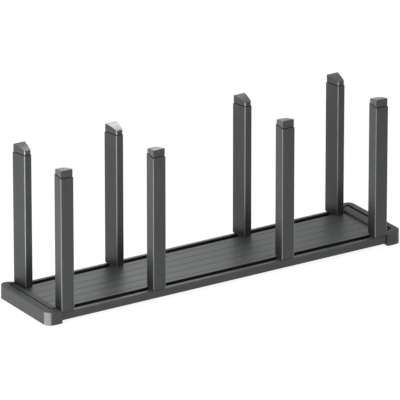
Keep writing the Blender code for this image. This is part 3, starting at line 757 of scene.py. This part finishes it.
# %% Deburr the ends
BURR = 0.00012
for end_z in (tube_high.z, tube_low.z):
    pick(tube, "EDGE", lambda corner: near(corner.z, end_z), is_rim)
    bpy.ops.mesh.bevel(offset=BURR, segments=2, affect="EDGES")
finish_piece(tube)

# %% [markdown]
# An arched top starts flat. Cuts across it give it rows of corners, and each row is then moved
# up or down. A subdivided surface could bulge as well, but rows put the arch exactly where its
# formula says.

# %% Tools for an arched top
ROW_REACH = 0.000001         # corners closer than this are in one row
ROW_DIGITS = 6               # the same, as decimals


def cut_across(axis, places):
    """Cut the piece that is being edited across an axis at each of the places."""
    for place in places:
        bpy.ops.mesh.select_all(action="SELECT")
        point = [place if axis == other else 0 for other in range(3)]
        normal = [1 if axis == other else 0 for other in range(3)]
        bpy.ops.mesh.bisect(plane_co=point, plane_no=normal)


def arch_top(piece, axis, top, height):
    """Move each row of corners of a flat top to the height that it has along the axis."""
    mesh = bmesh.from_edit_mesh(piece.data)
    rows = sorted({round(corner.co[axis], ROW_DIGITS) for corner in mesh.verts
                   if near(corner.co.z, top)})
    for row in rows:
        pick(piece, "VERT",
             lambda corner: near(corner[axis], row, ROW_REACH) and near(corner.z, top))
        bpy.ops.transform.translate(value=(0, 0, height(row) - top))
    return len(rows)


print("made the tools", cut_across.__name__, "and", arch_top.__name__)

# %% [markdown]
# A post cap is a solid moulding with an arched roof that falls towards the inside. It is a
# tapered block as well, a little smaller than the tube. Its inner corners are rounded about
# as much as the tube's and its outer ones much less. Then its flat top is arched.

# %% The roof of a post cap
LID_INSET = 0.00065          # its sides inside the sides of the post
LID_SEAM = 0.0009            # between the tube and its walls
LID_OUTER_HEIGHT = 0.0094    # above the tube, at the wide side
LID_INNER_HEIGHT = 0.0055    # the same at the narrow side
LID_ROOF_RISE = 0.0007       # how far the roof bulges above a straight line
LID_INNER_CORNER = 0.0008
LID_OUTER_CORNER = 0.0003
ROOF_ROWS = 8
lid_half_depth = POST_DEPTH / 2 - LID_INSET
lid_bottom = tube_high.z + LID_SEAM
lid_top = tube_high.z + LID_OUTER_HEIGHT


def roof_height(y):
    """Height of the roof at a place along Y: a straight fall and a bulge above it."""
    across = (y + lid_half_depth) / (2 * lid_half_depth)
    straight = LID_OUTER_HEIGHT + (LID_INNER_HEIGHT - LID_OUTER_HEIGHT) * across
    return tube_high.z + (straight + 4 * LID_ROOF_RISE * across * (1 - across))


lid = tapered_block("post_lid", LID_INSET, lid_bottom, lid_top)
round_uprights(lid, lambda corner: corner.y > 0, LID_INNER_CORNER, segments=5)
# These rounded faces carry the painted highlight.
mark_selected(lid, "painted_highlight", INNER_HIGHLIGHT)
round_uprights(lid, lambda corner: corner.y < 0, LID_OUTER_CORNER, segments=3)
cut_across(Y_AXIS, [lid_half_depth * (2 * row / ROOF_ROWS - 1) for row in range(1, ROOF_ROWS)])
rows = arch_top(lid, Y_AXIS, lid_top, roof_height)
print(rows, "rows, roof from", round(roof_height(-lid_half_depth) * MM, 2), "to",
      round(roof_height(lid_half_depth) * MM, 2), "mm high")

# %% [markdown]
# Only the rim between the roof and the walls is rounded. Then the underside gets a narrower
# neck, which leaves the dark seam between the cap and its tube.

# %% Round the roof's edge and add the neck
LID_EDGE_RADIUS = 0.0003
LID_NECK_INSET = 0.0013      # its sides inside the sides of the post
LID_GAP = 0.0003             # between the neck and the tube
pick(lid, "EDGE", lambda corner: corner.z > lid_bottom + NEAR, is_rim)
bpy.ops.mesh.bevel(offset=LID_EDGE_RADIUS, segments=3, affect="EDGES")
pick(lid, "FACE", lambda corner: near(corner.z, lid_bottom))
bpy.ops.mesh.inset(thickness=LID_NECK_INSET - LID_INSET)
bpy.ops.mesh.extrude_region_move(TRANSFORM_OT_translate={"value": (0, 0, LID_GAP - LID_SEAM)})
finish_piece(lid)

# %% [markdown]
# What repeats is modelled once and copied. A copy gets its own mesh, and its move is put into
# that mesh. Each piece then stands for a solid, which it hides and moves with.

# %% Tools to copy a piece and to hand it over


def copy_piece(piece, name, offset=(0, 0, 0), turned=False):
    """A copy with its own mesh, moved and, if asked, turned half round about the Z axis."""
    bpy.ops.object.select_all(action="DESELECT")
    piece.select_set(True)
    bpy.context.view_layer.objects.active = piece
    bpy.ops.object.duplicate()
    copy = bpy.context.object
    copy.name = copy.data.name = name
    if turned:
        bpy.ops.transform.rotate(value=math.pi, orient_axis="Z", center_override=(0, 0, 0))
    bpy.ops.transform.translate(value=offset)
    bpy.ops.object.transform_apply(location=True, rotation=True, scale=True)
    return copy


def hand_over(piece, node, finish):
    """Let a piece stand for a solid: same body, its own finish, and the solid hidden."""
    piece.data.materials.clear()
    piece.data.materials.append(finish)
    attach(piece, body_of[node])
    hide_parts(node)


print("made the tools", copy_piece.__name__, "and", hand_over.__name__)

# %% [markdown]
# Both pieces are copied to the eight places. The back row is the front row turned half round,
# so that every wide side faces outwards.

# %% Eight posts
for row, half_turn in (("front", False), ("back", True)):
    for number in (1, 2, 3, 4):
        low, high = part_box(f"post_{row}_{number}_tube")
        middle = ((low.x + high.x) / 2, (low.y + high.y) / 2, 0)
        for original, kind, finish in ((tube, "tube", post_aluminium), (lid, "cap", lid_plastic)):
            node = f"post_{row}_{number}_{kind}"
            hand_over(copy_piece(original, f"fine_{node}", middle, half_turn), node, finish)
for original in (tube, lid):
    bpy.data.objects.remove(original)
print("posts dressed")

# %% [markdown]
# ## The base and its end caps
#
# These solids have the right shape already, with slots, pockets and ribs, but their corners
# are knife sharp and their curves are flat facets. They could be modelled again, but a copy is
# enough. It is merged into one skin, its flat faces are joined again, and every sharp edge
# gets a tiny bevel, as any extruded or moulded edge has. That is where a real edge catches
# the light.

# %% Tools to soften a solid
MERGE_REACH = 0.000002       # corners closer than this become one
FLAT_DEGREES = 0.6           # faces that meet flatter than this become one
SHARP_DEGREES = 40.0         # edges sharper than this are softened
EDGE_SOFTNESS = 0.00015


def merged_copy(node):
    """A copy of a solid as one closed skin with flat faces, open in edit mode."""
    piece = bpy.data.objects.new(f"fine_{node}", nodes[node].data.copy())
    piece.data.name = piece.name
    bpy.context.scene.collection.objects.link(piece)
    bpy.ops.object.select_all(action="DESELECT")
    piece.select_set(True)
    bpy.context.view_layer.objects.active = piece
    bpy.ops.object.mode_set(mode="EDIT")
    bpy.ops.mesh.select_all(action="SELECT")
    bpy.ops.mesh.remove_doubles(threshold=MERGE_REACH)
    bpy.ops.mesh.dissolve_limited(angle_limit=math.radians(FLAT_DEGREES))
    return piece


def soften(piece):
    """Give every sharp edge of a piece a small bevel, and finish it."""
    bpy.ops.object.mode_set(mode="OBJECT")
    bpy.ops.object.modifier_add(type="BEVEL")
    bevel = piece.modifiers[-1]
    bevel.width = EDGE_SOFTNESS
    bevel.segments = 2
    bevel.limit_method = "ANGLE"
    bevel.angle_limit = math.radians(SHARP_DEGREES)
    bevel.miter_outer = "MITER_ARC"
    bpy.ops.object.modifier_apply(modifier=bevel.name)
    finish_piece(piece)


print(f"edges sharper than {SHARP_DEGREES:.0f} degrees get {EDGE_SOFTNESS * MM:.2f} mm")

# %% [markdown]
# The base is one extrusion, and its end caps reach over its ends. All three are softened
# alike, and each gets its own finish.

# %% The base and its end caps
for node, finish in (("base_profile", base_aluminium), ("end_cap_left", cap_plastic),
                     ("end_cap_right", cap_plastic)):
    piece = merged_copy(node)
    soften(piece)
    hand_over(piece, node, finish)

# %% [markdown]
# The cover in an end cap's top hides its screws. It follows the arch of the cap a little below
# it, so it is a block with two round corners whose top is arched as a post cap's roof is. It
# gets one cut more, where its lip will end.

# %% The arch of a cover
COVER_CORNER_RADIUS = 0.0015
COVER_THICKNESS = 0.0009     # above the lip's root, at the inner edge
COVER_LIP = 0.0012           # thickness of the lip
COVER_DROP = 0.00035         # its top below the arch of the end cap
COVER_ROWS = 6
CREST_REACH = 0.0174         # from the inner edge to the crest of the arch
ARCH_FALL = 0.00245          # from the crest to the inner edge
crest = cap_high.z


def cover_height(x):
    """Height of the cover's top at a place along X."""
    share = max(cover_low.x + CREST_REACH - x, 0) / CREST_REACH
    return crest - ARCH_FALL * share ** 2 - COVER_DROP


cover_bottom = cover_height(cover_low.x) - COVER_THICKNESS
cover = start_block("fine_end_cap_cover_right", (cover_low.x, cover_low.y, cover_bottom),
                    (cover_high.x, cover_high.y, crest))
round_uprights(cover, lambda corner: near(corner.x, cover_high.x), COVER_CORNER_RADIUS,
               segments=5)
cover_length = cover_high.x - cover_low.x
cuts = [cover_low.x + cover_length * row / COVER_ROWS for row in range(1, COVER_ROWS)]
cut_across(X_AXIS, [cover_low.x + COVER_LIP, *cuts])
rows = arch_top(cover, X_AXIS, crest, cover_height)
print(rows, "rows, cover from", round(cover_height(cover_low.x) * MM, 2), "to",
      round(cover_height(cover_high.x) * MM, 2), "mm high")

# %% [markdown]
# The edge of a cover is well rounded on three sides, so that the open line round it looks wide
# and dark. Its inner edge is only softened, and a lip reaches down from it almost to the deck.
# The other end has the same cover, turned half round.

# %% Round the cover's edge and give it its lip
COVER_EDGE_RADIUS = 0.0007
COVER_LIP_GAP = 0.0003       # between the lip and the deck
wall_top = cover_bottom + COVER_THICKNESS - COVER_EDGE_RADIUS


def at_inner_edge(corner):
    """Whether a corner lies at the inner edge of the right cover."""
    return near(corner.x, cover_low.x)


pick(cover, "EDGE", lambda corner: corner.z > cover_bottom + NEAR,
     lambda edge: is_rim(edge) and not all(at_inner_edge(corner.co) for corner in edge.verts))
bpy.ops.mesh.bevel(offset=COVER_EDGE_RADIUS, segments=3, affect="EDGES")
pick(cover, "FACE", lambda corner: near(corner.z, cover_bottom)
     and corner.x < cover_low.x + COVER_LIP + NEAR)
bpy.ops.mesh.extrude_region_move(
    TRANSFORM_OT_translate={"value": (0, 0, deck + COVER_LIP_GAP - cover_bottom)})
pick(cover, "EDGE", lambda corner: at_inner_edge(corner) and corner.z > wall_top)
bpy.ops.mesh.bevel(offset=EDGE_SOFTNESS, segments=2, affect="EDGES")
finish_piece(cover)
left_cover = copy_piece(cover, "fine_end_cap_cover_left", turned=True)
hand_over(left_cover, "end_cap_cover_left", cap_plastic)
hand_over(cover, "end_cap_cover_right", cap_plastic)

# %% [markdown]
# ## The studio
#
# The background is white to the camera and in reflections, and dimmer as a light, so that the
# object isn't washed out. The Light Path node tells these rays apart.

# %% Background
AMBIENT = 0.55               # as a light, where white is 1


def seen_ray(sheet):
    """1 for rays from the camera, from reflections and through clear things, 0 for others."""
    camera_ray, glossy_ray, clear_ray = (
        sheet.node("ShaderNodeLightPath", output=f"Is {kind} Ray")
        for kind in ("Camera", "Glossy", "Transmission"))
    return camera_ray.larger(glossy_ray).larger(clear_ray)


world = bpy.data.worlds.new("studio_world")
bpy.context.scene.world = world
world.use_nodes = True
world.node_tree.nodes["Background"].inputs["Color"].default_value = (1, 1, 1, 1)
sky = NodeSheet(world.node_tree)
sky.feed("Strength", seen_ray(sky) * (1 - AMBIENT) + AMBIENT, "Background")
print("the room lights with", AMBIENT, "of what it shows")

# %% [markdown]
# The floor is white in the same way and still takes a faint shadow. A plain white floor would
# turn grey in the lamps' light, and a glowing one would have no shadow, so it is a mix: to the
# rays that see it, most of its white is its own glow.

# %% Floor
FLOOR_SIZE = 60
FLOOR_LEVEL = -0.0002        # just under the pads
FLOOR_PAINT = (0.9, 0.9, 0.9, 1)
FLOOR_GLOW = 0.90            # share of the floor's white that no shadow dims
bpy.ops.object.select_all(action="DESELECT")
bpy.ops.mesh.primitive_plane_add(size=FLOOR_SIZE, location=(0, 0, FLOOR_LEVEL))
floor = bpy.context.object
floor.name = "studio_floor"
floor_finish = Finish("white_floor", {"Base Color": FLOOR_PAINT, "Roughness": 0.9})
paint = Wire(floor_finish, floor_finish.shader.outputs[0])
glow = floor_finish.node("ShaderNodeEmission")
blend = floor_finish.node("ShaderNodeMixShader", {},
                          {0: seen_ray(floor_finish) * FLOOR_GLOW, 1: paint, 2: glow})
floor_finish.feed("Surface", blend, "Material Output")
floor.data.materials.append(floor_finish.material)
print("the floor glows with", FLOOR_GLOW, "of its white")

# %% [markdown]
# Five softboxes shape the object. A large one on the left lights the sides that look that way.
# The object doesn't mirror it, because from behind its mirror image would burn out a roof. A
# broad one overhead lights the tops. Two small ones behind the object stand where the roofs
# mirror them to the camera: one for the back row, one for the front row. A weak one in front
# keeps the wide sides of the posts readable.

# %% Softboxes
FACE_LEVEL = 0.08            # where a lamp aims, about halfway up the posts
ROOF_LEVEL = 0.17            # the same for the roofs


def softbox(name, azimuth, distance, height, width, tall, watts, aim=FACE_LEVEL):
    """A rectangular lamp at an azimuth in degrees (0 is in front, 90 is at the right)."""
    angle = math.radians(azimuth)
    place = Vector((math.sin(angle) * distance, -math.cos(angle) * distance, height))
    bpy.ops.object.light_add(type="AREA", location=place)
    lamp = bpy.context.object
    lamp.name = name
    lamp.data.shape = "RECTANGLE"
    lamp.data.size = width
    lamp.data.size_y = tall
    lamp.data.energy = watts
    lamp.rotation_euler = (Vector((0, 0, aim)) - place).to_track_quat("-Z", "Y").to_euler()
    return lamp


side = softbox("left_softbox", azimuth=-74.0, distance=1.2, height=0.32,
               width=1.2, tall=0.6, watts=34.0)
side.visible_glossy = False
softbox("overhead_softbox", azimuth=150.0, distance=0.4, height=2.2,
        width=1.6, tall=1.6, watts=26.0)
softbox("roof_softbox", azimuth=152.0, distance=0.37, height=0.52,
        width=0.17, tall=0.26, watts=1.15, aim=ROOF_LEVEL)
softbox("streak_softbox", azimuth=167.0, distance=0.34, height=0.295,
        width=0.13, tall=0.07, watts=0.12, aim=ROOF_LEVEL)
softbox("front_softbox", azimuth=20.0, distance=2.4, height=1.6,
        width=1.2, tall=0.8, watts=12.0)

# %% [markdown]
# Last, the picture shows colours as they are, without a film's curve, because the
# photograph's white is plain white.

# %% Colours as they are
bpy.context.scene.view_settings.view_transform = "Standard"
